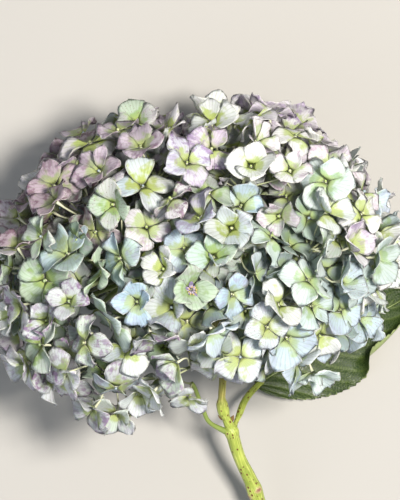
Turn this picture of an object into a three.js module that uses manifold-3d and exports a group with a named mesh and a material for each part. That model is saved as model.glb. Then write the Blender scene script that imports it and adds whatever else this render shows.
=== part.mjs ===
// A cut mophead hydrangea with a short stem and one leaf, lying on a table.
// The head is a slightly flattened ball of florets. Under the florets a hub branches into rays, the rays
// fork to small cymes, and each cyme holds a cluster of florets on thin pedicels.
// Millimetres, +Z up, +Y along the head away from the stem, the table at z = 0.

import * as THREE from 'three';
import { mergeVertices } from 'three/addons/utils/BufferGeometryUtils.js';
import Module from 'manifold-3d';

const wasm = await Module();
wasm.setup();

const vec = (x, y, z) => new THREE.Vector3(x, y, z);
const unit = (x, y, z) => vec(x, y, z).normalize();

// Driving dimensions.
const MIDDLE = vec(4.6, -50.83, 0); // the point of the table under the middle of the whole flower
const HEAD_CENTRE = vec(0, -3, 87);
const HEAD_HALF = vec(117, 94, 98); // centre of the head to the florets' middles, along X, Y and Z
const HEAD_AXIS = unit(-0.08, 0.93, 0.36); // from the hub through the crown
const COVER_ANGLE = THREE.MathUtils.degToRad(131); // florets cover the ball from the crown to here
const FLORET_COUNT = 216;
const CLUSTER_COUNT = 42;
const RAY_COUNT = 9;
const GOLDEN_ANGLE = Math.PI * (3 - Math.sqrt(5));
const GAP = 0.3; // left between pieces that touch

// Where the ball swells or sinks: a direction from its centre, how wide, and by what part of its radius.
const SWELLS = [
  { toward: unit(-0.72, -0.68, 0.15), spread: 0.2, rise: 0.13 }, // hanging lobe, lower left
  { toward: unit(-0.4, -0.86, 0.33), spread: 0.03, rise: 0.08 }, // tip of the hanging lobe
  { toward: unit(0.72, -0.68, 0.15), spread: 0.06, rise: -0.06 }, // lower right, held up over the leaf
  { toward: unit(0.05, -0.87, 0.45), spread: 0.02, rise: -0.17 }, // opening round the stem
  { toward: unit(-0.05, 0.98, 0.1), spread: 0.045, rise: -0.23 }, // dip in the crown
  { toward: unit(0.81, 0.58, 0.05), spread: 0.04, rise: -0.09 }, // right shoulder
  { toward: unit(-0.76, 0.64, 0.1), spread: 0.04, rise: -0.05 }, // left shoulder
  { toward: unit(-0.98, 0.15, 0.1), spread: 0.05, rise: -0.07 }, // left side
  { toward: unit(0.3, 0.36, 0.88), spread: 0.014, rise: -0.18 }, // hollow right of the middle
  { toward: unit(-0.26, 0, 0.96), spread: 0.012, rise: -0.18 }, // hollow left of the middle
  { toward: unit(0.25, -0.1, 0.96), spread: 0.012, rise: -0.16 }, // hollow under the middle
  { toward: unit(-0.39, 0.52, 0.76), spread: 0.01, rise: -0.15 }, // hollow towards the left shoulder
];

// A floret, simplified to one four-lobed lens that is thin at its rim.
const FLORET_REACH = [12.6, 15.6]; // smallest and largest, middle to sepal tip
const NOTCH = 0.5; // reach of the notch between two sepals, as a part of the tip's
const EYE_HEIGHT = 0.9; // the middle stands proud of the lobes by this
const CALYX_DEPTH = 1.9; // and reaches behind them by this
const CUP = [-2.5, 3.5]; // how far the tips stand behind or in front of the middle
const STAGGER = 0.09; // florets sit in front of or behind each other by this part of the radius
const FACE_JITTER = 0.42; // how far a floret may turn away from straight out
const FLOOR_PRESS = 22; // below this height the table turns the florets flat

// Stems and rays.
const STEM_PATH = [
  vec(48, -187, 4), vec(41.5, -168, 13), vec(32, -141, 26), vec(23.2, -122, 36),
  vec(18.4, -106, 44.6), vec(12.9, -90.5, 53.4), vec(13.2, -69, 65.5), vec(9, -38, 83),
];
const STEM_RADIUS = [4, 4, 4.6, 3.9, 4.7, 3.5, 2.7, 4.2];
const HUB = STEM_PATH[STEM_PATH.length - 1];
const HUB_RADIUS = 5;
const RAY_END = 0.42; // where a ray forks, as a part of the way from the hub to the florets
const RAY_RADIUS = [2.2, 1.7];
const FORK_END = 0.74; // where a fork ends in its cyme, as a part of the same way
const FORK_RADIUS = [1.3, 1];
const KNUCKLE_RADIUS = 2;
const PEDICEL_RADIUS = [0.3, 0.8]; // at the knuckle and under the floret
const FOOT_OFFSET = 2.4; // a pedicel meets the back of its floret this far beside the middle

// The side ray, on the left of the upper node.
const SIDE_PATH = [vec(13, -105.5, 45.5), vec(5.5, -100.5, 52), vec(1.5, -92, 58), vec(-3, -80, 68)];
const SIDE_RADIUS = [1.7, 1.2, 1.1, 1.2];
const SIDE_FLORETS = [
  { middle: vec(-6, -84, 77), facing: unit(-0.2, -0.75, 0.45), reach: 13, twist: 0.5, cup: 2 },
  { middle: vec(-14, -78, 64), facing: unit(-0.5, -0.8, -0.2), reach: 12, twist: 0.2, cup: 2 },
];

// Florets that hang below the even spread, and make the lower edge of the hanging lobe.
const LOBE_FLORETS = [
  { middle: vec(-47, -92, 112), facing: unit(-0.2, -0.75, 0.6), reach: 16, twist: 0.4, cup: 3 },
  { middle: vec(-34, -85, 121), facing: unit(0.1, -0.8, 0.6), reach: 15, twist: 1.1, cup: 3 },
  { middle: vec(-59, -88, 102), facing: unit(-0.4, -0.75, 0.5), reach: 15, twist: 0.1, cup: 3 },
  { middle: vec(-40, -94, 94), facing: unit(0.1, -0.9, 0.3), reach: 15, twist: 0.8, cup: 3 },
  { middle: vec(-27, -84, 106), facing: unit(0.3, -0.85, 0.4), reach: 14, twist: 0.6, cup: 3 },
];

// The leaf: a grooved petiole and a blade that lies on the table under the head's right side.
const PETIOLE_PATH = [vec(20.4, -103.3, 42.8), vec(22.8, -97.5, 35), vec(27, -88.5, 23.5), vec(35.5, -79.5, 11.2)];
const PETIOLE_RADIUS = [2.1, 1.6, 2.1, 2];
const BLADE_LENGTH = 108;
const BLADE_HALF_WIDTH = 30;
const BLADE_THICKNESS = 1;
const BLADE_TURN = THREE.MathUtils.degToRad(30); // from +X towards +Y
const BLADE_BASE = vec(33, -80.5, 10);
const BLADE_TOUCHES = 0.35; // the midrib lies on the table from this part of its length
const MARGIN_RISE = 4;
const MARGIN_CURL = 9; // the right margin, near the tip, curls up by this
const TIP_RISE = 3;
const BLADE_STEPS = [12, 6];

const sepalPaint = new THREE.MeshStandardMaterial({ color: 0xcfdcc8, roughness: 0.6, metalness: 0 });
const stemPaint = new THREE.MeshStandardMaterial({ color: 0xb9bf55, roughness: 0.5, metalness: 0 });
const rayPaint = new THREE.MeshStandardMaterial({ color: 0xc3cf9a, roughness: 0.5, metalness: 0 });
const leafPaint = new THREE.MeshStandardMaterial({ color: 0x3d5224, roughness: 0.45, metalness: 0 });
const budPaint = new THREE.MeshStandardMaterial({ color: 0x8a5a3a, roughness: 0.6, metalness: 0 });

// A number from 0 to 1 that is always the same for the same floret and trait.
function chance(index, trait) {
  const wave = Math.sin(index * 12.9898 + trait * 78.233) * 43758.5453;
  return wave - Math.floor(wave);
}

const between = ([low, high], share) => low + (high - low) * share;

// A three.js geometry as a solid that can be joined and cut.
function toSolid(geometry) {
  geometry.deleteAttribute('normal');
  geometry.deleteAttribute('uv');
  const merged = mergeVertices(geometry, 1e-4);
  return new wasm.Manifold(new wasm.Mesh({
    numProp: 3,
    vertProperties: new Float32Array(merged.attributes.position.array),
    triVerts: new Uint32Array(merged.index.array),
  }));
}

// The largest connected body of a solid, with slivers removed.
function mainBody(solid) {
  const bodies = solid.simplify(0.01).decompose();
  return bodies.reduce((best, body) => (body.volume() > best.volume() ? body : best));
}

function addPiece(group, name, solid, paint) {
  const { vertProperties, triVerts } = mainBody(solid).getMesh();
  const geometry = new THREE.BufferGeometry();
  geometry.setAttribute('position', new THREE.BufferAttribute(new Float32Array(vertProperties), 3));
  geometry.setIndex(new THREE.BufferAttribute(new Uint32Array(triVerts), 1));
  geometry.computeVertexNormals();
  const mesh = new THREE.Mesh(geometry, paint);
  mesh.name = name;
  group.add(mesh);
}

// A tapering round stalk along a smooth curve through the points: a cylinder bent onto the curve.
function stalk(points, radii, sides, steps, extra = 0) {
  const path = new THREE.CatmullRomCurve3(points);
  const frames = path.computeFrenetFrames(steps);
  const geometry = new THREE.CylinderGeometry(1, 1, 1, sides, steps);
  const position = geometry.attributes.position;
  for (let i = 0; i < position.count; i += 1) {
    const corner = vec().fromBufferAttribute(position, i);
    const step = Math.round((corner.y + 0.5) * steps);
    const along = step / steps;
    const slot = Math.min(along * (radii.length - 1), radii.length - 1.000001);
    const first = Math.floor(slot);
    const radius = between([radii[first], radii[first + 1]], slot - first) + extra;
    const place = path.getPoint(along)
      .addScaledVector(frames.binormals[step], corner.x * radius)
      .addScaledVector(frames.normals[step], corner.z * radius);
    position.setXYZ(i, place.x, place.y, place.z);
  }
  return toSolid(geometry);
}

function ball(centre, radius, extra = 0) {
  return toSolid(new THREE.SphereGeometry(radius + extra, 8, 5).translate(centre.x, centre.y, centre.z));
}

// Directions spread evenly over the covered part of the ball, as seeds are on a seed head.
const headTilt = new THREE.Quaternion().setFromUnitVectors(vec(0, 1, 0), HEAD_AXIS);

function spreadDirection(index, count) {
  const rise = 1 - ((index + 0.5) / count) * (1 - Math.cos(COVER_ANGLE));
  const ring = Math.sqrt(1 - rise * rise);
  const turn = index * GOLDEN_ANGLE;
  return vec(ring * Math.cos(turn), rise, ring * Math.sin(turn)).applyQuaternion(headTilt);
}

function surfacePoint(direction, depth = 0) {
  let radius = 1 - depth;
  for (const swell of SWELLS) {
    radius += swell.rise * Math.exp((direction.dot(swell.toward) - 1) / swell.spread);
  }
  return direction.clone().multiply(HEAD_HALF).multiplyScalar(radius).add(HEAD_CENTRE);
}

// Where each floret sits and how it faces.
function floretAt(index) {
  const direction = spreadDirection(index, FLORET_COUNT);
  const wobble = vec(chance(index, 1) - 0.5, chance(index, 2) - 0.5, chance(index, 3) - 0.5);
  direction.addScaledVector(wobble, 0.08).normalize();
  const middle = surfacePoint(direction, STAGGER * chance(index, 4));
  const outward = direction.clone().divide(HEAD_HALF).normalize();
  const fromHub = middle.clone().sub(HUB).normalize();
  const jitter = vec(chance(index, 5) - 0.5, chance(index, 6) - 0.5, chance(index, 7) - 0.5);
  const facing = outward.add(fromHub).addScaledVector(jitter, 2 * FACE_JITTER).normalize();
  const press = THREE.MathUtils.clamp(1 - middle.z / FLOOR_PRESS, 0, 1);
  facing.lerp(vec(0, 0, -1), press).normalize();
  return {
    middle,
    facing,
    reach: between(FLORET_REACH, chance(index, 8)),
    twist: chance(index, 9) * Math.PI,
    cup: between(CUP, chance(index, 10)) * (1 - press),
  };
}

// A cupped four-lobed lens, lifted where it would sink into the table.
function floretLens(floret) {
  const turn = new THREE.Quaternion().setFromUnitVectors(vec(0, 1, 0), floret.facing);
  const geometry = new THREE.SphereGeometry(1, 8, 2);
  const position = geometry.attributes.position;
  const corners = [];
  for (let i = 0; i < position.count; i += 1) {
    const corner = vec().fromBufferAttribute(position, i);
    const angle = Math.atan2(corner.x, corner.z);
    const isNotch = Math.abs(Math.round(angle / (Math.PI / 4))) % 2 === 1;
    const out = Math.hypot(corner.x, corner.z) * (isNotch ? NOTCH : 1);
    const around = angle + floret.twist;
    corners.push(vec(
      Math.sin(around) * out * floret.reach,
      corner.y * (corner.y > 0 ? EYE_HEIGHT : CALYX_DEPTH) + floret.cup * out * out,
      Math.cos(around) * out * floret.reach,
    ).applyQuaternion(turn).add(floret.middle));
  }
  const lowest = Math.min(...corners.map((corner) => corner.z));
  const lift = Math.max(0, -lowest);
  floret.middle.z += lift;
  const side = floret.twist + Math.PI / 8;
  const foot = vec(Math.sin(side) * FOOT_OFFSET, -CALYX_DEPTH / 4, Math.cos(side) * FOOT_OFFSET);
  floret.foot = foot.applyQuaternion(turn).add(floret.middle);
  corners.forEach((corner, i) => position.setXYZ(i, corner.x, corner.y, corner.z + lift));
  return toSolid(geometry);
}

function pedicel(from, to) {
  const geometry = new THREE.CylinderGeometry(PEDICEL_RADIUS[1], PEDICEL_RADIUS[0], from.distanceTo(to), 3, 1);
  const along = to.clone().sub(from).normalize();
  geometry.applyQuaternion(new THREE.Quaternion().setFromUnitVectors(vec(0, 1, 0), along));
  const halfway = from.clone().lerp(to, 0.5);
  return toSolid(geometry.translate(halfway.x, halfway.y, halfway.z));
}

function knuckle(centre) {
  return toSolid(new THREE.OctahedronGeometry(KNUCKLE_RADIUS).translate(centre.x, centre.y, centre.z));
}

// The wedge of the head, seen from the hub, that is nearer to one direction than to any of the others.
function keepOwnWedge(solid, own, others) {
  let kept = solid;
  for (const other of others) {
    if (other === own || own.dot(other) < 0.2) continue;
    const away = own.clone().sub(other).normalize();
    kept = kept.trimByPlane(away.toArray(), away.dot(HUB) + GAP / 2);
  }
  return kept;
}

function nearest(direction, choices) {
  let best = 0;
  choices.forEach((choice, i) => {
    if (choice.dot(direction) > choices[best].dot(direction)) best = i;
  });
  return best;
}

const aboveTable = (solid) => solid.trimByPlane([0, 0, 1], 0);
const fromHub = (point) => point.clone().sub(HUB).normalize();

const flower = new THREE.Group();
flower.position.set(-MIDDLE.x, -MIDDLE.y, 0);

// Stem, from the cut to the hub.
const STEM_STEPS = 28;
const stem = aboveTable(stalk(STEM_PATH, STEM_RADIUS, 12, STEM_STEPS).add(ball(HUB, HUB_RADIUS)));
const stemRoom = stalk(STEM_PATH, STEM_RADIUS, 12, STEM_STEPS, GAP).add(ball(HUB, HUB_RADIUS, GAP));
addPiece(flower, 'stem', stem, stemPaint);

// Leaf: a flat box bent and narrowed into a blade, and its petiole.
function bladeSolid(extra = 0) {
  const thickness = BLADE_THICKNESS + 2 * extra;
  const smooth = (share) => THREE.MathUtils.smoothstep(share, 0, 1);
  const geometry = new THREE.BoxGeometry(1, 2, thickness, BLADE_STEPS[0], BLADE_STEPS[1], 1);
  const position = geometry.attributes.position;
  for (let i = 0; i < position.count; i += 1) {
    const along = position.getX(i) + 0.5;
    const across = position.getY(i);
    const width = BLADE_HALF_WIDTH * (0.04 + 0.96 * Math.sin(Math.PI * along ** 0.85) ** 0.8) + extra;
    const shoulder = BLADE_BASE.z * (1 - smooth(along / BLADE_TOUCHES));
    const cup = MARGIN_RISE * Math.abs(across) ** 1.6 * Math.sin(Math.PI * along);
    const curl = across < 0 ? MARGIN_CURL * smooth((along - 0.5) / 0.35) * across * across : 0;
    const height = shoulder + cup + curl + TIP_RISE * smooth((along - 0.75) / 0.25);
    position.setXYZ(i, along * BLADE_LENGTH, across * width, position.getZ(i) + height);
  }
  geometry.rotateZ(BLADE_TURN);
  return toSolid(geometry.translate(BLADE_BASE.x, BLADE_BASE.y, BLADE_THICKNESS / 2));
}
const leaf = bladeSolid().add(stalk(PETIOLE_PATH, PETIOLE_RADIUS, 8, 8)).subtract(stemRoom);
addPiece(flower, 'leaf', aboveTable(leaf), leafPaint);
const leafRoom = bladeSolid(GAP).add(stalk(PETIOLE_PATH, PETIOLE_RADIUS, 8, 8, GAP));

// Side ray and its own small cluster.
const sideRay = stalk(SIDE_PATH, SIDE_RADIUS, 6, 8).subtract(stemRoom).subtract(leafRoom);
addPiece(flower, 'side_ray', sideRay, rayPaint);
const sideRoom = stalk(SIDE_PATH, SIDE_RADIUS, 6, 8, GAP);

// Axillary buds, in the angles of the upper node.
const BUDS = [
  { name: 'axillary_bud_left', from: vec(12.5, -99, 48.4), to: vec(9.6, -96, 50.8) },
  { name: 'axillary_bud_right', from: vec(18.6, -100, 47.2), to: vec(20.2, -96.2, 49.8) },
];
for (const bud of BUDS) {
  const solid = stalk([bud.from, bud.from.clone().lerp(bud.to, 0.5), bud.to], [1.2, 1.3, 0.3], 6, 4)
    .subtract(stemRoom)
    .subtract(leafRoom)
    .subtract(sideRoom);
  addPiece(flower, bud.name, solid, budPaint);
}

// Rays and clusters share the head out between them by direction from the hub.
const clusterTips = Array.from({ length: CLUSTER_COUNT }, (_, i) => (
  surfacePoint(spreadDirection(i, CLUSTER_COUNT), STAGGER / 2)));
const clusterWays = clusterTips.map(fromHub);
const rayTips = Array.from({ length: RAY_COUNT }, (_, i) => surfacePoint(spreadDirection(i, RAY_COUNT)));
const rayWays = rayTips.map(fromHub);
const knuckles = clusterTips.map((tip) => HUB.clone().lerp(tip, FORK_END));

const raySolids = [];
const rayRooms = [];
rayWays.forEach((way, r) => {
  const fork = HUB.clone().lerp(rayTips[r], RAY_END);
  const branches = (extra) => {
    const parts = [stalk([HUB, HUB.clone().lerp(fork, 0.5), fork], RAY_RADIUS, 6, 2, extra)];
    clusterWays.forEach((clusterWay, k) => {
      if (nearest(clusterWay, rayWays) !== r) return;
      const toKnuckle = knuckles[k].clone().sub(fork);
      const end = fork.clone().addScaledVector(toKnuckle, 1 - (KNUCKLE_RADIUS + GAP) / toKnuckle.length());
      parts.push(stalk([fork, fork.clone().lerp(end, 0.5), end], FORK_RADIUS, 4, 1, extra));
    });
    return wasm.Manifold.union(parts);
  };
  raySolids.push(keepOwnWedge(branches(0).subtract(stemRoom), way, rayWays));
  rayRooms.push(branches(GAP));
});
raySolids.forEach((solid, r) => addPiece(flower, `ray_${r + 1}`, aboveTable(solid), rayPaint));

// Floret clusters.
const taken = wasm.Manifold.union([stemRoom, leafRoom, sideRoom, ...rayRooms]);
const clusterParts = knuckles.map((centre) => [knuckle(centre)]);
const spreadFlorets = Array.from({ length: FLORET_COUNT }, (_, i) => floretAt(i));
for (const floret of spreadFlorets.concat(LOBE_FLORETS)) {
  const cluster = nearest(fromHub(floret.middle), clusterWays);
  clusterParts[cluster].push(floretLens(floret));
  clusterParts[cluster].push(pedicel(knuckles[cluster], floret.foot));
}

const sideEnd = SIDE_PATH[SIDE_PATH.length - 1];
const sideKnuckle = sideEnd.clone().add(vec(-2, 3, 3));
const sideParts = [knuckle(sideKnuckle)];
for (const floret of SIDE_FLORETS) {
  sideParts.push(floretLens(floret));
  sideParts.push(pedicel(sideKnuckle, floret.foot));
}
const sideCluster = wasm.Manifold.union(sideParts).subtract(taken);
const sideClusterRoom = wasm.Manifold.union(sideParts);

clusterParts.forEach((parts, k) => {
  const whole = wasm.Manifold.union(parts).subtract(taken).subtract(sideClusterRoom);
  const name = `floret_cluster_${String(k + 1).padStart(2, '0')}`;
  addPiece(flower, name, aboveTable(keepOwnWedge(whole, clusterWays[k], clusterWays)), sepalPaint);
});
addPiece(flower, 'side_cluster', sideCluster, sepalPaint);

export default flower;
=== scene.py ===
import math

import bmesh
import bpy
from mathutils import Matrix, Quaternion, Vector
from mathutils.bvhtree import BVHTree


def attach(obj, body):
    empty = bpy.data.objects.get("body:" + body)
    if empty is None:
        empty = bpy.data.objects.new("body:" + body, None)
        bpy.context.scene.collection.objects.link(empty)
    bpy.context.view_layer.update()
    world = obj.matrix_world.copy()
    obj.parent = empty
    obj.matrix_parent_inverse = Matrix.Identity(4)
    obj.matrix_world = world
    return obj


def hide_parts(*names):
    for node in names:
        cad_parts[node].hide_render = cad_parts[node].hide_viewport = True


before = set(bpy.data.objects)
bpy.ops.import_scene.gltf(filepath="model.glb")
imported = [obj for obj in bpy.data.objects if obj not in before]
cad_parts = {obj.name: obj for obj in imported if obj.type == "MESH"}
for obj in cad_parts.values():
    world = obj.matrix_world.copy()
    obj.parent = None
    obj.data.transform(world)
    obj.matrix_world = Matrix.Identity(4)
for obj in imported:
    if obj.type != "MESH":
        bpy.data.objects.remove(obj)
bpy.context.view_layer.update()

# ---------------------------------------------------------------------------------------------------
# Stem. The flower's own woody-green stalk, grown in one piece with the hub that its rays leave.
# The bark is smooth, yellow-green and dotted with brown lenticels; each node is a swelling, and the
# lower one still has the pale scars of two leaves that were taken off. Cut square with a sharp knife.
# ---------------------------------------------------------------------------------------------------
MM = 0.001
MIDDLE = Vector((4.6, -50.83, 0.0))
STEM_SIDES = 32
STEM_STEPS = 190
STEM_PATH = [
    (48, -187, 4.2), (41.5, -168, 13), (32, -141, 26), (23.2, -122, 36),
    (18.4, -106, 44.6), (12.9, -90.5, 53.4), (13.2, -69, 65.5), (9, -38, 83),
]
HUB = Vector(STEM_PATH[-1])
# Radius along the stem: where, as a part of its length, and how thick in millimetres.
STEM_GIRTH = [
    (0, 4.1), (0.14, 3.8), (0.24, 3.9), (0.285, 4.7), (0.32, 4.1), (0.42, 3.7), (0.53, 3.9), (0.57, 4.5),
    (0.605, 3.0), (0.645, 2.6), (0.69, 3.6), (0.715, 3.5), (0.75, 2.2), (0.9, 2.2), (1, 4.6),
]
# Leaf scars: how far along the stem, which side they face, and their half height and half width.
SCARS = [(0.287, (0.55, -0.16, 0.8), 2.4, 3.8), (0.27, (-0.9, -0.53, 0.2), 1.8, 4.5)]
SCAR_RISE = 0.5
# Where the darker bark begins, and over how much of the length the green one turns into it. Up to the
# head this is older bark, and it is also painted darker as the shade that the head casts on it.
OLD_AND_SHADED_FROM = 0.69
OLD_AND_SHADED_BLEND = 0.08
OUT_OF_ROUND = (0.10, 0.07)
ON_TABLE = 0.05
# The rings of the cut face: how much of it the bark, the wood and the pith leave inside them.
CUT_RINGS = [0.9, 0.72, 0.45]
CUT_RING_WIDTH = 0.55
CUT_RING_DISH = -0.08


def linear(hex_colour, alpha=1.0):
    """An sRGB hex colour as the linear values that a shader takes."""
    shares = [int(hex_colour[i:i + 2], 16) / 255 for i in (1, 3, 5)]
    channels = [c / 12.92 if c <= 0.04045 else ((c + 0.055) / 1.055) ** 2.4 for c in shares]
    return (*channels, alpha)


def ramp(stops, where):
    """The value at where on a line through (place, value) stops."""
    for (low, start), (high, end) in zip(stops, stops[1:]):
        if where <= high:
            share = max(0.0, (where - low) / (high - low))
            share = share * share * (3 - 2 * share)
            return start + (end - start) * share
    return stops[-1][1]


def radii_along(girth, steps):
    return [ramp(girth, step / steps) for step in range(steps + 1)]


def smooth_step(low, high, value):
    share = min(1.0, max(0.0, (value - low) / (high - low)))
    return share * share * (3 - 2 * share)


def smooth_path(points, steps):
    """Points on a smooth curve through the given ones."""
    points = [Vector(p) for p in points]
    padded = [2 * points[0] - points[1], *points, 2 * points[-1] - points[-2]]
    path = []
    for step in range(steps + 1):
        slot = step / steps * (len(points) - 1)
        first = min(int(slot), len(points) - 2)
        t = slot - first
        a, b, c, d = padded[first:first + 4]
        path.append(0.5 * (2 * b + (c - a) * t + (2 * a - 5 * b + 4 * c - d) * t * t
                           + (3 * b - a - 3 * c + d) * t ** 3))
    return path


def hoop_of(ring):
    """The edges that join the corners of a ring, in order."""
    return [next(e for e in corner.link_edges if e.other_vert(corner) is ring[(i + 1) % len(ring)])
            for i, corner in enumerate(ring)]


def grow_stalk(bm, path, radii, sides):
    """Extrudes a closed round stalk along a path, ring by ring, and returns its rings. Each corner also
    keeps its place on the same stalk made straight, in metres, for patterns that run along it."""
    vectors = bm.verts.layers.float_vector
    straight = vectors.get("straight") or vectors.new("straight")
    rings = []
    side = None
    travelled = 0
    for step, (centre, radius) in enumerate(zip(path, radii)):
        ahead = (path[min(step + 1, len(path) - 1)] - path[max(step - 1, 0)]).normalized()
        side = (side or ahead.orthogonal()) - ahead * ahead.dot(side or ahead.orthogonal())
        side.normalize()
        up = ahead.cross(side)
        if step == 0:
            ring = bmesh.ops.create_circle(bm, cap_ends=True, radius=1, segments=sides)["verts"]
            for face in ring[0].link_faces:
                face.normal_flip()
        else:
            grown = bmesh.ops.extrude_edge_only(bm, edges=hoop_of(rings[-1]))["geom"]
            fresh = {v for v in grown if isinstance(v, bmesh.types.BMVert)}
            ring = [next(e.other_vert(v) for e in v.link_edges if e.other_vert(v) in fresh)
                    for v in rings[-1]]
        travelled += (centre - path[max(step - 1, 0)]).length
        for i, corner in enumerate(ring):
            turn = 2 * math.pi * i / sides
            corner.co = centre + (side * math.cos(turn) + up * math.sin(turn)) * radius
            unbent = Vector((math.cos(turn) * radius, math.sin(turn) * radius, travelled))
            corner[straight] = unbent * MM
        rings.append(list(ring))
    bmesh.ops.contextual_create(bm, geom=hoop_of(rings[-1]))
    return rings


def make_piece(name, bm, materials, replaced=(), smooth=True):
    """Turns a bmesh in the flower's millimetres into a finished piece of the flower."""
    bmesh.ops.translate(bm, verts=bm.verts, vec=-MIDDLE)
    bmesh.ops.scale(bm, verts=bm.verts, vec=(MM, MM, MM))
    mesh = bpy.data.meshes.new(name)
    bm.to_mesh(mesh)
    bm.free()
    for polygon in mesh.polygons:
        polygon.use_smooth = smooth
    for material in materials:
        mesh.materials.append(material)
    piece = bpy.data.objects.new(name, mesh)
    bpy.context.scene.collection.objects.link(piece)
    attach(piece, "root")
    if replaced:
        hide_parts(*replaced)
    return piece


def add(tree, kind, inputs=None, **settings):
    """Adds a shader node with its settings, and sets or links its inputs."""
    node = tree.nodes.new("ShaderNode" + kind)
    for name, value in settings.items():
        setattr(node, name, value)
    for key, value in (inputs or {}).items():
        if isinstance(value, bpy.types.NodeSocket):
            tree.links.new(value, node.inputs[key])
        else:
            node.inputs[key].default_value = value
    return node


def new_material(name):
    material = bpy.data.materials.new(name)
    material.use_nodes = True
    material.node_tree.nodes.clear()
    return material, material.node_tree


def stem_bark():
    """Young hydrangea bark: a waxy yellow-green skin over green wood, so it is satin, finely ridged
    along its length and dotted with raised brown lenticels about 1 mm long. The old part up to the head
    is darker, both as older bark and as painted shade from the head over it."""
    material, tree = new_material("green_hydrangea_bark")
    straight = add(tree, "Attribute", attribute_name="straight").outputs["Vector"]
    age_and_shade, scar = [add(tree, "Attribute", attribute_name=name).outputs["Fac"] for name in ("age_and_shade", "scar")]
    # Lenticels: one to a cell, with cells 1.9 mm apart round the stem and 2.7 mm along it.
    cells = add(tree, "VectorMath", {0: straight, 1: (540, 540, 370)}, operation="MULTIPLY").outputs[0]
    spots = add(tree, "TexVoronoi", {"Vector": cells, "Scale": 1.0, "Randomness": 0.9})
    size = add(tree, "MapRange", {"Value": spots.outputs["Color"], "From Min": 0.2, "From Max": 0.8,
                                  "To Min": 0.04, "To Max": 0.36}).outputs[0]
    inside = add(tree, "Math", {0: size, 1: spots.outputs["Distance"]}, operation="SUBTRACT").outputs[0]
    speck = add(tree, "MapRange", {"Value": inside, "From Min": -0.02, "From Max": 0.05}).outputs[0]
    # Ridges: 0.7 mm apart round the stem and many times as long.
    streaks = add(tree, "VectorMath", {0: straight, 1: (1400, 1400, 70)},
                  operation="MULTIPLY").outputs[0]
    ridges = add(tree, "TexNoise", {"Vector": streaks, "Scale": 1.0, "Detail": 3.0}).outputs["Fac"]
    mottle = add(tree, "TexNoise", {"Vector": straight, "Scale": 110.0, "Detail": 3.0}).outputs["Fac"]
    uneven = add(tree, "Math", {0: mottle, 1: ridges}, operation="MULTIPLY").outputs[0]
    tone = add(tree, "MapRange", {"Value": uneven, "From Min": 0.12, "From Max": 0.36}).outputs[0]
    young = add(tree, "Mix", {0: tone, 6: linear("#84953a"), 7: linear("#b4c058")},
                data_type="RGBA").outputs[2]
    # Older bark colours, also painted darker as the shade under the head.
    old_and_shaded = add(tree, "Mix", {0: tone, 6: linear("#76792f"), 7: linear("#a5974f")},
              data_type="RGBA").outputs[2]
    skin = add(tree, "Mix", {0: age_and_shade, 6: young, 7: old_and_shaded}, data_type="RGBA").outputs[2]
    streak = add(tree, "MapRange", {"Value": ridges, "From Min": 0.5, "From Max": 0.75,
                                    "To Max": 0.4}).outputs[0]
    ridged = add(tree, "Mix", {0: streak, 6: skin, 7: linear("#e9e98e")}, data_type="RGBA").outputs[2]
    specked = add(tree, "Mix", {0: speck, 6: ridged, 7: linear("#6a3d20")}, data_type="RGBA").outputs[2]
    # A leaf scar: pale cork round a rough, pinkish middle.
    crumbs = add(tree, "TexNoise", {"Vector": straight, "Scale": 900.0, "Detail": 3.0}).outputs["Fac"]
    cork = add(tree, "Math", {0: crumbs, 1: 0.9, 2: scar}, operation="MULTIPLY_ADD").outputs[0]
    corked = add(tree, "MapRange", {"Value": cork, "From Min": 0.62, "From Max": 0.78}).outputs[0]
    inner = add(tree, "MapRange", {"Value": cork, "From Min": 1.0, "From Max": 1.25}).outputs[0]
    edged = add(tree, "Mix", {0: corked, 6: specked, 7: linear("#b9ad70")}, data_type="RGBA").outputs[2]
    healed = add(tree, "Mix", {0: inner, 6: edged, 7: linear("#94685a")}, data_type="RGBA").outputs[2]
    relief = add(tree, "Math", {0: speck, 1: 0.6, 2: ridges}, operation="MULTIPLY_ADD").outputs[0]
    bump = add(tree, "Bump", {"Height": relief, "Strength": 0.6, "Distance": 0.0005}).outputs[0]
    surface = add(tree, "BsdfPrincipled", {"Base Color": healed, "Roughness": 0.42, "Normal": bump})
    add(tree, "OutputMaterial", {"Surface": surface.outputs[0]})
    return material


def cut_wood():
    """The fresh cut: pale wet wood in a ring round a soft white pith, a little dished and rough."""
    material, tree = new_material("fresh_cut_pith")
    place_at = add(tree, "TexCoord").outputs["Object"]
    grain = add(tree, "TexNoise", {"Vector": place_at, "Scale": 2200.0, "Detail": 2.0})
    core = add(tree, "Attribute", attribute_name="core")
    wood = add(tree, "Mix", {0: core.outputs["Fac"], 6: linear("#a9b463"), 7: linear("#eef0d2")},
               data_type="RGBA").outputs[2]
    tone = add(tree, "Mix", {0: grain.outputs["Fac"], 6: wood, 7: linear("#d8dba4")},
               data_type="RGBA").outputs[2]
    bump = add(tree, "Bump", {"Height": grain.outputs["Fac"], "Strength": 0.5, "Distance": 0.0003})
    surface = add(tree, "BsdfPrincipled", {"Base Color": tone, "Roughness": 0.55,
                                           "Normal": bump.outputs[0]})
    add(tree, "OutputMaterial", {"Surface": surface.outputs[0]})
    return material


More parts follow.
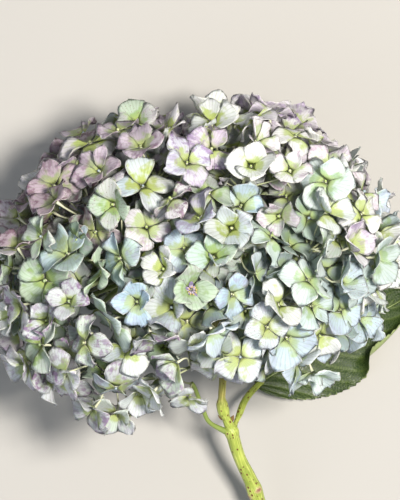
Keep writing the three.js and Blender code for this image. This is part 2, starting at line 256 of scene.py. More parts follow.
stem_bm = bmesh.new()
age_and_shade_layer = stem_bm.verts.layers.float.new("age_and_shade")
scar_layer = stem_bm.verts.layers.float.new("scar")
core_layer = stem_bm.verts.layers.float.new("core")
stem_path = smooth_path(STEM_PATH, STEM_STEPS)
stem_length = sum((b - a).length for a, b in zip(stem_path, stem_path[1:]))
stem_rings = grow_stalk(stem_bm, stem_path, radii_along(STEM_GIRTH, STEM_STEPS), STEM_SIDES)
for step, ring in enumerate(stem_rings):
    for corner in ring:
        away = corner.co - stem_path[step]
        corner[age_and_shade_layer] = smooth_step(OLD_AND_SHADED_FROM, OLD_AND_SHADED_FROM + OLD_AND_SHADED_BLEND, step / STEM_STEPS)
        # A little out of round, with two flat sides and slow bumps, as a grown stalk is.
        around = math.atan2(away.z, away.x)
        wave = OUT_OF_ROUND[0] * math.cos(2 * around + step * 0.03)
        wave = wave + OUT_OF_ROUND[1] * math.sin(3 * around + step * 0.11)
        corner.co += away.normalized() * wave
        for share, toward, tall, wide in SCARS:
            above = (step / STEM_STEPS - share) * stem_length
            beside = away.angle(Vector(toward)) * away.length
            close = 1 - math.hypot(above / tall, beside / wide)
            if close > 0:
                corner[scar_layer] = max(corner[scar_layer], smooth_step(0, 0.9, close))
                corner.co += away.normalized() * SCAR_RISE * smooth_step(0, 0.4, close)
        corner.co.z = max(corner.co.z, ON_TABLE)
cut_face = min(stem_bm.faces, key=lambda face: face.calc_center_median().y)
for width in CUT_RINGS:
    bmesh.ops.inset_region(stem_bm, faces=[cut_face], thickness=CUT_RING_WIDTH, depth=CUT_RING_DISH,
                           use_even_offset=True)
    for corner in cut_face.verts:
        corner[core_layer] = 1 - width * 0.6
for face in stem_bm.faces:
    if face is cut_face or any(v[core_layer] > 0 for v in face.verts):
        face.material_index = 1
bmesh.ops.recalc_face_normals(stem_bm, faces=stem_bm.faces)
bark = stem_bark()
OBSTACLES = [BVHTree.FromBMesh(stem_bm)]
make_piece("stem_stalk", stem_bm, [bark, cut_wood()], ["stem"])

# ---------------------------------------------------------------------------------------------------
# Axillary buds. Two resting buds in the angles of the upper node, each wrapped in a pair of brown
# scales that overlap like a beak. They grew there; nothing fixes them.
# ---------------------------------------------------------------------------------------------------
BUDS = [
    ("axillary_bud_left", (14.6, -99.4, 48.4), (10.6, -96.2, 50.8), 1.1),
    ("axillary_bud_right", (17.4, -101.2, 47.2), (19.9, -96.4, 49.8), 1.1),
]
BEAK = 0.55
SCALE_SHIFT = 0.25
SHORTER = 0.93


def bud_scale():
    """Dry bud scales: thin brown papery leaves with a waxy shine, redder towards the tip."""
    material, tree = new_material("waxy_bud_scale")
    place_at = add(tree, "TexCoord").outputs["Object"]
    mottle = add(tree, "TexNoise", {"Vector": place_at, "Scale": 700.0, "Detail": 2.0})
    tone = add(tree, "Mix", {0: mottle.outputs["Fac"], 6: linear("#55301f"), 7: linear("#86703c")},
               data_type="RGBA").outputs[2]
    bump = add(tree, "Bump", {"Height": mottle.outputs["Fac"], "Strength": 0.3, "Distance": 0.0003})
    surface = add(tree, "BsdfPrincipled", {"Base Color": tone, "Roughness": 0.35,
                                           "Normal": bump.outputs[0]})
    add(tree, "OutputMaterial", {"Surface": surface.outputs[0]})
    return material


scale_material = bud_scale()
for bud_name, root, tip, girth in BUDS:
    bud_bm = bmesh.new()
    root, tip = Vector(root), Vector(tip)
    along = (tip - root).normalized()
    for half in (-1, 1):
        cone = bmesh.ops.create_uvsphere(bud_bm, u_segments=14, v_segments=10, radius=1)["verts"]
        for corner in cone:
            # Drawn out to a beak at the tip, and set a little to one side, so that the scales overlap.
            narrow = 1 - BEAK * smooth_step(0.1, 1, corner.co.z)
            corner.co.x = corner.co.x * girth * narrow + half * SCALE_SHIFT
            corner.co.y *= girth * narrow * 0.9
            corner.co.z = (corner.co.z * 0.5 + 0.5) * (tip - root).length * (1 if half > 0 else SHORTER)
        bmesh.ops.rotate(bud_bm, verts=cone, matrix=along.to_track_quat("Z", "Y").to_matrix())
        bmesh.ops.translate(bud_bm, verts=cone, vec=root)
    make_piece(f"{bud_name}_scales", bud_bm, [scale_material], [bud_name])

# ---------------------------------------------------------------------------------------------------
# Leaf. One broad, toothed leaf on a grooved petiole, grown from the upper node. The blade is dark and
# satin above and pale below, puckered between its side veins, and its right margin has curled up.
# ---------------------------------------------------------------------------------------------------
PETIOLE_PATH = [
    (19, -105.5, 44.6), (22.8, -97.5, 35), (27, -88.5, 23.5), (35.5, -79.5, 11), (48, -72, 4),
]
PETIOLE_GIRTH = [(0, 2.6), (0.14, 1.4), (0.35, 2.1), (0.65, 2.0), (1, 1.0)]
PETIOLE_STEPS = 40
PETIOLE_SIDES = 20
GROOVE_DEPTH = 0.45
PETIOLE_LOWEST = 0.3
BLADE_BASE = Vector((33, -80.5, 10))
BLADE_LENGTH = 108
BLADE_HALF_WIDTH = 30
BLADE_TURN = math.radians(30)
BLADE_THICKNESS = 0.45
BLADE_TOUCHES = 0.35
BLADE_ACROSS = 56
BLADE_ALONG = 96
SIDE_VEINS = 8
VEIN_SPAN = 0.86
VEIN_LEAN = 0.26
VEIN_SINK = 0.5
MIDRIB_HALF = 0.035
SIDE_VEIN_HALF = 0.008
TEETH = 26
TOOTH_DEPTH = 1.5
ROLL_START = 0.58
ROLL_RADIUS = 3.2
ROLL_ANGLE = 2.6


def blade_width(along):
    return BLADE_HALF_WIDTH * (0.03 + 0.97 * math.sin(math.pi * along ** 0.85) ** 0.8)


def vein_slot(along, reach):
    """Which side vein a spot is nearest to, counted from the base. They lean towards the tip."""
    return (along - VEIN_LEAN * reach ** 1.3) * SIDE_VEINS / VEIN_SPAN


def vein_lines(along, across):
    """How close a spot of the blade is to its midrib or to one of its side veins, from 0 to 1."""
    reach = abs(across)
    midrib = math.exp(-(reach / MIDRIB_HALF) ** 2)
    slot = vein_slot(along, reach)
    off = abs(slot - round(slot)) * VEIN_SPAN / SIDE_VEINS
    side = math.exp(-(off / SIDE_VEIN_HALF) ** 2) * smooth_step(1.0, 0.85, reach) * (0.02 < along < 0.9)
    return max(midrib, 0.75 * side)


def blade_height(along, across):
    shoulder = BLADE_BASE.z * (1 - smooth_step(0, BLADE_TOUCHES, along))
    cup = 4 * abs(across) ** 1.6 * math.sin(math.pi * along)
    curl = 5 * smooth_step(0.5, 0.85, along) * across * across if across < 0 else 0
    tip = 3 * smooth_step(0.75, 1, along)
    wave = 1.1 * math.sin(along * 19 + (1.3 if across > 0 else 0)) * abs(across) ** 2
    reach = abs(across)
    swell = 0.5 * (0.5 - 0.5 * math.cos(2 * math.pi * vein_slot(along, reach)))
    pucker = swell * smooth_step(0, 0.3, reach) * (1 - 0.4 * reach)
    return shoulder + cup + curl + tip + wave + pucker + 0.6


def double_grid(bm, along, across):
    """Two square grids back to back, for a thin sheet with two sides. Returns the back's corners."""
    bmesh.ops.create_grid(bm, x_segments=along, y_segments=across, size=1)
    copied = bmesh.ops.duplicate(bm, geom=bm.verts[:] + bm.edges[:] + bm.faces[:])["geom"]
    bmesh.ops.reverse_faces(bm, faces=[g for g in copied if isinstance(g, bmesh.types.BMFace)])
    return [g for g in copied if isinstance(g, bmesh.types.BMVert)]


def leaf_skin():
    """Hydrangea leaf: a waxy dark green upper skin that shines softly, and a matt pale green lower one,
    with raised yellow-green veins. Thin enough to glow a little against the light."""
    material, tree = new_material("waxy_leaf_skin")
    place_at = add(tree, "TexCoord").outputs["Object"]
    under, vein = [add(tree, "Attribute", attribute_name=name).outputs["Fac"]
                   for name in ("underside", "vein")]
    patches = add(tree, "TexNoise", {"Vector": place_at, "Scale": 60.0, "Detail": 4.0}).outputs["Fac"]
    # The finest veins enclose cells about 1.5 mm wide.
    cells = add(tree, "TexVoronoi", {"Vector": place_at, "Scale": 650.0},
                feature="DISTANCE_TO_EDGE").outputs["Distance"]
    net = add(tree, "MapRange", {"Value": cells, "From Min": 0.0, "From Max": 0.12, "To Min": 1.0,
                                 "To Max": 0.0}).outputs[0]
    upper = add(tree, "Mix", {0: patches, 6: linear("#1f300e"), 7: linear("#374d1f")},
                data_type="RGBA").outputs[2]
    lower = add(tree, "Mix", {0: patches, 6: linear("#8fa060"), 7: linear("#b4c184")},
                data_type="RGBA").outputs[2]
    skin = add(tree, "Mix", {0: under, 6: upper, 7: lower}, data_type="RGBA").outputs[2]
    fine = add(tree, "Math", {0: net, 1: 0.22}, operation="MULTIPLY").outputs[0]
    netted = add(tree, "Mix", {0: fine, 6: skin, 7: linear("#93a35c")}, data_type="RGBA").outputs[2]
    vein_tone = add(tree, "Mix", {0: under, 6: linear("#76893f"), 7: linear("#c9d29a")},
                    data_type="RGBA").outputs[2]
    veined = add(tree, "Mix", {0: vein, 6: netted, 7: vein_tone}, data_type="RGBA").outputs[2]
    relief = add(tree, "Math", {0: net, 1: -0.5, 2: patches}, operation="MULTIPLY_ADD").outputs[0]
    bump = add(tree, "Bump", {"Height": relief, "Strength": 0.4, "Distance": 0.0005})
    surface = add(tree, "BsdfPrincipled", {"Base Color": veined, "Roughness": 0.42,
                                           "Normal": bump.outputs[0]})
    glow = add(tree, "BsdfTranslucent", {"Color": veined, "Normal": bump.outputs[0]})
    both = add(tree, "MixShader", {0: 0.15, 1: surface.outputs[0], 2: glow.outputs[0]})
    add(tree, "OutputMaterial", {"Surface": both.outputs[0]})
    return material


blade_bm = bmesh.new()
under_layer = blade_bm.verts.layers.float.new("underside")
vein_layer = blade_bm.verts.layers.float.new("vein")
for corner in double_grid(blade_bm, BLADE_ALONG, BLADE_ACROSS):
    corner[under_layer] = 1
for corner in blade_bm.verts:
    along, across = corner.co.x * 0.5 + 0.5, corner.co.y
    rim = max(abs(corner.co.x), abs(corner.co.y)) > 0.999
    corner[vein_layer] = vein_lines(along, across) * (0.55 if corner[under_layer] < 0.5 else 0.8)
    width = blade_width(along)
    saw = (along * TEETH + abs(across)) % 1.0
    tooth = TOOTH_DEPTH * (saw - 0.5) * smooth_step(0.7, 1, abs(across)) * smooth_step(1.0, 0.93, along)
    tooth *= smooth_step(0.06, 0.16, along)
    height = blade_height(along, across)
    drop = 0 if rim else (-BLADE_THICKNESS if corner[under_layer] > 0.5 else 0)
    sink = -VEIN_SINK * vein_lines(along, across) if corner[under_layer] < 0.5 and not rim else 0
    lean = 0.22 * BLADE_LENGTH * 0.1 * abs(across) ** 1.5 * math.sin(math.pi * along)
    # The right margin near the tip has rolled up and over, so that its pale underside shows.
    outward = abs(across) * width + tooth
    rolled = ROLL_ANGLE * smooth_step(0.5, 0.68, along) * smooth_step(1.0, 0.86, along) * (across < 0)
    beyond = max(0.0, outward - ROLL_START * width)
    turned = min(rolled, beyond / ROLL_RADIUS)
    straight_on = beyond - ROLL_RADIUS * turned
    sine, cosine = math.sin(turned), math.cos(turned)
    outward -= beyond
    outward += ROLL_RADIUS * sine + straight_on * cosine - sine * (drop + sink)
    height += ROLL_RADIUS * (1 - cosine) + straight_on * sine + cosine * (drop + sink)
    sideways = math.copysign(outward, across) if across else 0
    corner.co = Vector((along * BLADE_LENGTH + lean, sideways, height))
bmesh.ops.remove_doubles(blade_bm, verts=blade_bm.verts, dist=1e-4)
bmesh.ops.rotate(blade_bm, verts=blade_bm.verts, matrix=Matrix.Rotation(BLADE_TURN, 3, "Z"))
bmesh.ops.translate(blade_bm, verts=blade_bm.verts, vec=(BLADE_BASE.x, BLADE_BASE.y, 0))
for corner in blade_bm.verts:
    corner.co.z = max(corner.co.z, ON_TABLE)
leaf_material = leaf_skin()
OBSTACLES.append(BVHTree.FromBMesh(blade_bm))
make_piece("leaf_blade", blade_bm, [leaf_material], ["leaf"])

petiole_bm = bmesh.new()
petiole_path = smooth_path(PETIOLE_PATH, PETIOLE_STEPS)
petiole_radii = radii_along(PETIOLE_GIRTH, PETIOLE_STEPS)
petiole_rings = grow_stalk(petiole_bm, petiole_path, petiole_radii, PETIOLE_SIDES)
for step, ring in enumerate(petiole_rings):
    for corner in ring:
        away = corner.co - petiole_path[step]
        # The groove along the upper side.
        groove = smooth_step(0.55, 1, away.normalized().dot(Vector((0.25, -0.1, 0.96))))
        corner.co -= away * GROOVE_DEPTH * groove
        corner.co.z = max(corner.co.z, PETIOLE_LOWEST)
OBSTACLES.append(BVHTree.FromBMesh(petiole_bm))
make_piece("leaf_petiole", petiole_bm, [bark], ["leaf"])

# ---------------------------------------------------------------------------------------------------
# Head layout. A mophead carries its florets on the skin of a slightly flattened ball, spread as evenly
# as seeds on a seed head, and swollen or sunk in places. Nothing is made here: it is the plan that the
# rays, pedicels and sepals follow, and it is the same plan as the one that the solids follow.
# ---------------------------------------------------------------------------------------------------
HEAD_CENTRE = Vector((0, -3, 87))
HEAD_HALF = Vector((117, 94, 98))
HEAD_AXIS = Vector((-0.08, 0.93, 0.36)).normalized()
COVER_ANGLE = math.radians(131)
FLORET_COUNT = 216
CLUSTER_COUNT = 42
RAY_COUNT = 9
GOLDEN_ANGLE = math.pi * (3 - math.sqrt(5))
SWELLS = [
    ((-0.72, -0.68, 0.15), 0.2, 0.13),
    ((-0.4, -0.86, 0.33), 0.03, 0.08),
    ((0.72, -0.68, 0.15), 0.06, -0.06),
    ((0.05, -0.87, 0.45), 0.02, -0.17),
    ((-0.05, 0.98, 0.1), 0.045, -0.23),
    ((0.81, 0.58, 0.05), 0.04, -0.09),
    ((-0.76, 0.64, 0.1), 0.04, -0.05),
    ((-0.98, 0.15, 0.1), 0.05, -0.07),
    ((0.3, 0.36, 0.88), 0.014, -0.18),
    ((-0.26, 0, 0.96), 0.012, -0.18),
    ((0.25, -0.1, 0.96), 0.012, -0.16),
    ((-0.39, 0.52, 0.76), 0.01, -0.15),
]
STAGGER = 0.09
FACE_JITTER = 0.42
FLOOR_PRESS = 22
RAY_END = 0.42
FORK_END = 0.74


def chance(index, trait):
    """A random number from 0 to 1 that is always the same for the same index and trait."""
    wave = math.sin(index * 12.9898 + trait * 78.233) * 43758.5453
    return wave - math.floor(wave)


def between(low, high, share):
    return low + (high - low) * share


def stray(index, trait):
    """A small random push in any direction, from this trait and the next two."""
    return Vector([chance(index, trait + axis) - 0.5 for axis in range(3)])


HEAD_TILT = Vector((0, 1, 0)).rotation_difference(HEAD_AXIS)


def spread_direction(index, count):
    rise = 1 - (index + 0.5) / count * (1 - math.cos(COVER_ANGLE))
    ring = math.sqrt(1 - rise * rise)
    turn = index * GOLDEN_ANGLE
    return HEAD_TILT @ Vector((ring * math.cos(turn), rise, ring * math.sin(turn)))


def surface_point(direction, depth=0.0):
    radius = 1 - depth
    for toward, spread, rise in SWELLS:
        radius += rise * math.exp((direction.dot(Vector(toward).normalized()) - 1) / spread)
    return direction * HEAD_HALF * radius + HEAD_CENTRE


def from_hub(point):
    return (point - HUB).normalized()


def nearest(direction, choices):
    return max(range(len(choices)), key=lambda i: choices[i].dot(direction))


cluster_tips = [surface_point(spread_direction(k, CLUSTER_COUNT), STAGGER / 2)
                for k in range(CLUSTER_COUNT)]
cluster_ways = [from_hub(tip) for tip in cluster_tips]
knuckles = [HUB.lerp(tip, FORK_END) for tip in cluster_tips]
ray_tips = [surface_point(spread_direction(r, RAY_COUNT)) for r in range(RAY_COUNT)]
ray_ways = [from_hub(tip) for tip in ray_tips]
cluster_ray = [nearest(way, ray_ways) for way in cluster_ways]

# ---------------------------------------------------------------------------------------------------
# Florets, settled. Each floret has four broad sepals in two crossed pairs, the outer pair a little
# larger and behind the inner one. Where florets crowd, each turns or sits back until its sepals lie
# over or under its neighbours', as they do when the head opens.
# ---------------------------------------------------------------------------------------------------
INNER_COUNT = 230
INNER_FIRST = 1000
SIDE_FIRST = 2000
LOBE_FIRST = 2100
FLORET_REACH = (14.0, 18.5)
INNER_REACH = (11.5, 15.0)
EXTRA_TILT = 1.35
# The inner florets: where they start in the spread, how far they stray, and how deep they sit.
INNER_START = 0.37
INNER_WOBBLE = 0.14
OUTER_WOBBLE = 0.08
INNER_DEPTH = (0.1, 0.26)
FIVE_SEPALS = 0.05
# The seats that a floret tries, and what it costs to sit away from its own.
SEAT_DEPTHS = (0, -2.5, 2.5, -5.5, 4.5, -8.5, -12, -16)
SEAT_SHIFTS = ((0, 0), (8, 5), (-8, 5), (0, 10), (15, 8), (-15, 8), (0, 18), (22, 4), (-22, 4))
SETTLE_IN = 3.5
CURTAIN_TOP = 178
CURTAIN_HALF = 5
CURTAIN_COST = 6
DEPTH_COST = 0.12
SHIFT_COST = 0.2
SEAT_HEIGHT = 0.4
SEAT_TURNS = (0, 0.4, 0.8, 1.2)
NEIGHBOUR_REACH = 36
SEPAL_THICKNESS = 0.32
LEAST_BEND = 0.02
# How the sepals of a floret stand, and how common each habit is: least and most rise from the floret's
# plane at the base, and least and most bend by the tip, in radians.
HABITS = [
    (0.16, (-0.05, 0.25), (-0.6, 0.35)),
    (0.30, (0.2, 0.85), (-1.1, -0.1)),
    (0.16, (0.45, 1.0), (-0.7, 0.5)),
    (0.12, (-0.4, 0.1), (-0.8, -0.1)),
    (0.26, (-0.4, 0.95), (-1.2, 0.7)),
]


def blank_floret(index):
    inner = index >= INNER_FIRST
    number = index - INNER_FIRST if inner else index
    start, count = (INNER_START, INNER_COUNT) if inner else (0, FLORET_COUNT)
    direction = spread_direction(number + start, count)
    direction = (direction + stray(index, 1) * (INNER_WOBBLE if inner else OUTER_WOBBLE)).normalized()
    depth = between(*INNER_DEPTH, chance(index, 4)) if inner else STAGGER * chance(index, 4)
    middle = surface_point(direction, depth) - direction * SETTLE_IN
    outward = Vector(d / h for d, h in zip(direction, HEAD_HALF)).normalized()
    facing = (outward + from_hub(middle) + stray(index, 5) * 2 * FACE_JITTER).normalized()
    press = min(1.0, max(0.0, 1 - middle.z / FLOOR_PRESS))
    facing = facing.lerp(Vector((0, 0, -1)), press).normalized()
    # Crowded florets are pushed askew, less so near the table.
    facing = (facing + stray(index, 15) * EXTRA_TILT * (1 - press)).normalized()
    reach = between(*(INNER_REACH if inner else FLORET_REACH), chance(index, 8))
    return {
        "index": index, "inner": inner, "middle": middle, "facing": facing, "press": press,
        "reach": reach, "twist": chance(index, 9) * math.pi, "direction": direction,
    }


def habit_of(index):
    draw = chance(index, 10)
    for share, rise, bend in HABITS:
        if draw < share:
            return rise, bend
        draw -= share
    return HABITS[0][1:]


def sepals_of(floret):
    """The shape of each sepal of a floret: its length, width, how it rises, bends, cups and waves."""
    index = floret["index"]
    flat = 1 - floret["press"]
    count = 5 if chance(index, 11) < FIVE_SEPALS else 4
    kite = chance(index, 12)
    rise, bend = habit_of(index)
    shared = chance(index, 13)
    sepals = []
    for k in range(count):
        draw = [chance(index * 7 + k, 20 + trait) for trait in range(12)]
        outer = k % 2 == 0
        length = floret["reach"] * between(0.86, 1.08, draw[0]) * (1.04 if outer else 0.96)
        sepals.append({
            "turn": 2 * math.pi * k / count + between(-0.16, 0.16, draw[1]),
            "length": length,
            "width": length * between(0.92, 1.18, draw[2]) * (1.04 if outer else 0.94) * (4 / count),
            "blunt": between(0.9, 0.58, draw[3]),
            "kite": between(0.1, 0.8, kite),
            "rise": between(*rise, 0.4 * shared + 0.6 * draw[4]) * flat + (0 if outer else 0.05),
            "bend": between(*bend, draw[5]) * flat,
            "roll": (between(-1.0, 0.4, draw[6]) if outer else between(-0.5, 1.1, draw[6])) * flat,
            "crease": between(-0.05, 0.55, draw[8]) * (0.3 + 0.7 * flat),
            "wave": between(0.7, 2.5, draw[7]) * (0.25 + 0.75 * flat),
            "twist": between(-0.7, 0.7, draw[9]) * flat,
            "phase": draw[10] * 2 * math.pi,
            "lift": -0.3 if outer else 0.3,
        })
    return sepals


def sepal_spot(sepal, side, out, back=0.0):
    """A spot on a sepal in its floret's frame: side is -1 to 1 across it, out is 0 to 1 along it."""
    out = min(1.0, max(0.0, out))
    rounded = math.sin(math.pi * out ** 1.12) ** sepal["blunt"]
    angular = min(out / 0.58, (1 - out) / 0.42) ** 0.85
    outline = 0.05 * (1 - out) + between(rounded, angular, sepal["kite"])
    phase = sepal["phase"]
    uneven = 1 + 0.06 * math.sin(7 * out + phase + side) + 0.03 * math.sin(23 * out + 3 * phase)
    across = side * 0.5 * sepal["width"] * outline * uneven
    length, rise = sepal["length"], sepal["rise"]
    bend = sepal["bend"] if abs(sepal["bend"]) > LEAST_BEND else LEAST_BEND
    slope = rise + bend * out
    along = length / bend * (math.sin(slope) - math.sin(rise))
    height = length / bend * (math.cos(rise) - math.cos(slope))
    # The cross-section: rolled up or down about the midrib, creased along it, and waved at the rim.
    roll = sepal["roll"] if abs(sepal["roll"]) > LEAST_BEND else LEAST_BEND
    curve = roll / (0.5 * sepal["width"])
    sideways = math.sin(curve * across) / curve
    lift = (1 - math.cos(curve * across)) / curve
    ridge = math.sin(math.pi * min(1, out * 0.85 + 0.1))
    lift += sepal["crease"] * (math.hypot(across, 1.2) - 1.2) * ridge
    rim = side * side
    lift += sepal["wave"] * math.sin(8.5 * out + phase + (0 if side < 0 else 2.1)) * rim * out
    lift += sepal["wave"] * 0.5 * math.cos(4.5 * side + phase) * smooth_step(0.6, 1.0, out)
    lift += back
    turned = sepal["twist"] * out
    sideways, lift = (sideways * math.cos(turned) - lift * math.sin(turned),
                      sideways * math.sin(turned) + lift * math.cos(turned))
    along += 0.8 - math.sin(slope) * lift
    height += sepal["lift"] + math.cos(slope) * lift
    c, s = math.cos(sepal["turn"]), math.sin(sepal["turn"])
    return Vector((sideways * c - along * s, sideways * s + along * c, height)), across


def floret_frame(floret):
    turn = Vector((0, 0, 1)).rotation_difference(floret["facing"])
    return turn @ Quaternion((0, 0, 1), floret["twist"])


COARSE = [(s, o) for o in (0.12, 0.5, 0.97) for s in (-0.95, 0.0, 0.95)]
COARSE_FACES = [(first, first + 1, first + 4, first + 3) for first in (0, 1, 3, 4)]


def coarse_tree(floret, sepals):
    turn = floret_frame(floret)
    corners = []
    faces = []
    for sepal in sepals:
        start = len(corners)
        corners += [turn @ sepal_spot(sepal, s, o)[0] + floret["middle"] for s, o in COARSE]
        faces += [tuple(start + i for i in face) for face in COARSE_FACES]
    lowest = min(c.z for c in corners)
    if lowest < SEAT_HEIGHT:
        for corner in corners:
            corner.z += SEAT_HEIGHT - lowest
    return BVHTree.FromPolygons(corners, faces), max(0.0, SEAT_HEIGHT - lowest)


def curtain_over(path):
    """The space straight above a stalk, which the florets leave open, so that the stalk shows."""
    corners = []
    faces = []
    for shift in (-CURTAIN_HALF, 0, CURTAIN_HALF):
        first = len(corners)
        corners += [Vector((p.x + shift, p.y, z)) for p in path for z in (p.z, CURTAIN_TOP)]
        faces += [tuple(first + 2 * i + k for k in (0, 1, 3, 2)) for i in range(len(path) - 1)]
    return BVHTree.FromPolygons(corners, faces)


SIDE_PATH = [(15.5, -106.5, 44.8), (5.5, -100.5, 52), (1.5, -92, 58), (-3, -80, 68)]
side_path = smooth_path(SIDE_PATH, 16)
CURTAINS = [
    curtain_over(stem_path[int(STEM_STEPS * 0.5):int(STEM_STEPS * 0.8)]),
    curtain_over(petiole_path[:12]),
    curtain_over(side_path[:8]),
]


def settle(floret, placed):
    """Tries a few depths and turns and keeps the one whose sepals cut least through those around it."""
    around = [p for p in placed if (p["middle"] - floret["middle"]).length < NEIGHBOUR_REACH]
    best = None
    middle = floret["middle"].copy()
    twist = floret["twist"]
    sepals = sepals_of(floret)
    first_tree, _ = coarse_tree(floret, sepals)
    in_the_way = any(first_tree.overlap(curtain) for curtain in CURTAINS)
    for across, up in SEAT_SHIFTS if in_the_way else SEAT_SHIFTS[:1]:
        for depth in SEAT_DEPTHS:
            moved = abs(depth) * DEPTH_COST + math.hypot(across, up) * SHIFT_COST
            for turn in SEAT_TURNS:
                floret["middle"] = middle + floret["direction"] * depth + Vector((across, up, 0))
                floret["twist"] = twist + turn
                tree, lift = coarse_tree(floret, sepals)
                cuts = sum(len(tree.overlap(p["tree"])) for p in around)
                cuts += sum(len(tree.overlap(solid)) for solid in OBSTACLES)
                cuts += CURTAIN_COST * sum(len(tree.overlap(curtain)) for curtain in CURTAINS)
                if best is None or cuts + moved < best[0]:
                    best = (cuts + moved, floret["middle"].copy(), floret["twist"], tree, lift)
                if cuts == 0:
                    break
            # Some seat tried so far cuts nothing, so the search goes no deeper.
            if best[0] < moved + 0.5:
                break
    _, floret["middle"], floret["twist"], floret["tree"], lift = best
    floret["middle"].z += lift
    floret["sepals"] = sepals
    placed.append(floret)


def hand_placed(index, middle, facing, reach, twist):
    facing = Vector(facing).normalized()
    return {"index": index, "inner": False, "middle": Vector(middle), "press": 0.0, "reach": reach,
            "facing": facing, "twist": twist, "direction": facing}


# Florets that hang below the even spread, and make the lower edge of the hanging lobe.
LOBE_FLORETS = [
    ((-47, -92, 112), (-0.2, -0.75, 0.6), 16, 0.4),
    ((-34, -85, 121), (0.1, -0.8, 0.6), 15, 1.1),
    ((-59, -88, 102), (-0.4, -0.75, 0.5), 15, 0.1),
    ((-40, -94, 94), (0.1, -0.9, 0.3), 15, 0.8),
    ((-27, -84, 106), (0.3, -0.85, 0.4), 14, 0.6),
]
florets = []
for index in range(FLORET_COUNT):
    settle(blank_floret(index), florets)
for number, spot in enumerate(LOBE_FLORETS):
    settle(hand_placed(LOBE_FIRST + number, *spot), florets)
for index in range(INNER_FIRST, INNER_FIRST + INNER_COUNT):
    settle(blank_floret(index), florets)

SIDE_KNUCKLE = Vector((-5, -77, 71))
SIDE_FLORETS = [
    ((-6, -84, 77), (-0.2, -0.75, 0.45), 13.5, 0.5),
    ((-14, -78, 64), (-0.5, -0.8, -0.2), 12.5, 0.2),
]
side_florets = []
for number, spot in enumerate(SIDE_FLORETS):
    settle(hand_placed(SIDE_FIRST + number, *spot), florets)
    side_florets.append(florets.pop())
for floret in florets:
    floret["cluster"] = nearest(from_hub(floret["middle"]), cluster_ways)

# ---------------------------------------------------------------------------------------------------
# Rays and pedicels. The green framework under the florets: nine rays leave the hub, fork to the small
# cymes, and end in thin pale pedicels, one to a floret, that bend until the floret faces the light.
# ---------------------------------------------------------------------------------------------------
RAY_GIRTH = [(0, 2.4), (0.5, 1.9), (1, 1.9)]
FORK_GIRTH = [(0, 1.5), (0.8, 1.1), (1, 1.5)]
PEDICEL_GIRTH = [(0, 0.75), (0.3, 0.5), (0.8, 0.55), (1, 0.95)]
PEDICEL_STEPS = 6
PEDICEL_SIDES = 5
PEDICEL_PALE = 0.35
PEDICEL_LOWEST = 0.1
RAY_STEPS = 10
RAY_SIDES = 12
RAY_SAG = Vector((0, 0, -1.5))
FORK_STEPS = 8
FORK_SIDES = 8
FORK_BOW = 2.5
SIDE_GIRTH = [(0, 1.9), (0.2, 1.3), (1, 1.3)]
SIDE_STEPS = 24
SIDE_SIDES = 10


def green_stalk():
    """Pedicels and rays: soft green stalks with a thin waxy skin, paler and pinker further out."""
    material, tree = new_material("soft_green_stalk")
    place_at = add(tree, "TexCoord").outputs["Object"]
    mottle = add(tree, "TexNoise", {"Vector": place_at, "Scale": 240.0, "Detail": 3.0}).outputs["Fac"]
    out = add(tree, "Attribute", attribute_name="out").outputs["Fac"]
    inner = add(tree, "Mix", {0: mottle, 6: linear("#6d8138"), 7: linear("#94a456")},
                data_type="RGBA").outputs[2]
    outer = add(tree, "Mix", {0: mottle, 6: linear("#c6d3a6"), 7: linear("#dcd0c4")},
                data_type="RGBA").outputs[2]
    tone = add(tree, "Mix", {0: out, 6: inner, 7: outer}, data_type="RGBA").outputs[2]
    bump = add(tree, "Bump", {"Height": mottle, "Strength": 0.2, "Distance": 0.0003})
    surface = add(tree, "BsdfPrincipled", {"Base Color": tone, "Roughness": 0.45,
                                           "Normal": bump.outputs[0]})
    add(tree, "OutputMaterial", {"Surface": surface.outputs[0]})
    return material


def grow_pedicel(bm, layer, start, floret):
    """A pedicel from its knuckle to the back of its floret, arriving along the way the floret faces."""
    end = floret["middle"] - floret["facing"] * 0.3
    span = (end - start).length
    lead = (end - start).normalized().lerp(floret["facing"], 0.2).normalized()
    first = start + lead * span * 0.35
    second = end - floret["facing"] * span * 0.4
    path = []
    for step in range(PEDICEL_STEPS + 1):
        t = step / PEDICEL_STEPS
        path.append(start * (1 - t) ** 3 + first * 3 * t * (1 - t) ** 2
                    + second * 3 * t * t * (1 - t) + end * t ** 3)
    radii = radii_along(PEDICEL_GIRTH, PEDICEL_STEPS)
    for step, ring in enumerate(grow_stalk(bm, path, radii, PEDICEL_SIDES)):
        for corner in ring:
            corner[layer] = between(PEDICEL_PALE, 1, step / PEDICEL_STEPS)
            corner.co.z = max(corner.co.z, PEDICEL_LOWEST)


stalk_material = green_stalk()
for r in range(RAY_COUNT):
    ray_bm = bmesh.new()
    out_layer = ray_bm.verts.layers.float.new("out")
    fork = HUB.lerp(ray_tips[r], RAY_END)
    middle = HUB.lerp(fork, 0.55) + RAY_SAG
    ray_path = smooth_path([HUB, middle, fork], RAY_STEPS)
    grow_stalk(ray_bm, ray_path, radii_along(RAY_GIRTH, RAY_STEPS), RAY_SIDES)
    for k in range(CLUSTER_COUNT):
        if cluster_ray[k] != r:
            continue
        knuckle = knuckles[k]
        elbow = fork.lerp(knuckle, 0.5) + ray_ways[r] * FORK_BOW
        fork_path = smooth_path([fork, elbow, knuckle], FORK_STEPS)
        fork_radii = radii_along(FORK_GIRTH, FORK_STEPS)
        for step, ring in enumerate(grow_stalk(ray_bm, fork_path, fork_radii, FORK_SIDES)):
            for corner in ring:
                corner[out_layer] = 0.04 * step
        for floret in florets:
            if floret["cluster"] == k:
                grow_pedicel(ray_bm, out_layer, knuckle, floret)
    bmesh.ops.recalc_face_normals(ray_bm, faces=ray_bm.faces)
    make_piece(f"ray_{r + 1}_stalks", ray_bm, [stalk_material], [f"ray_{r + 1}"])

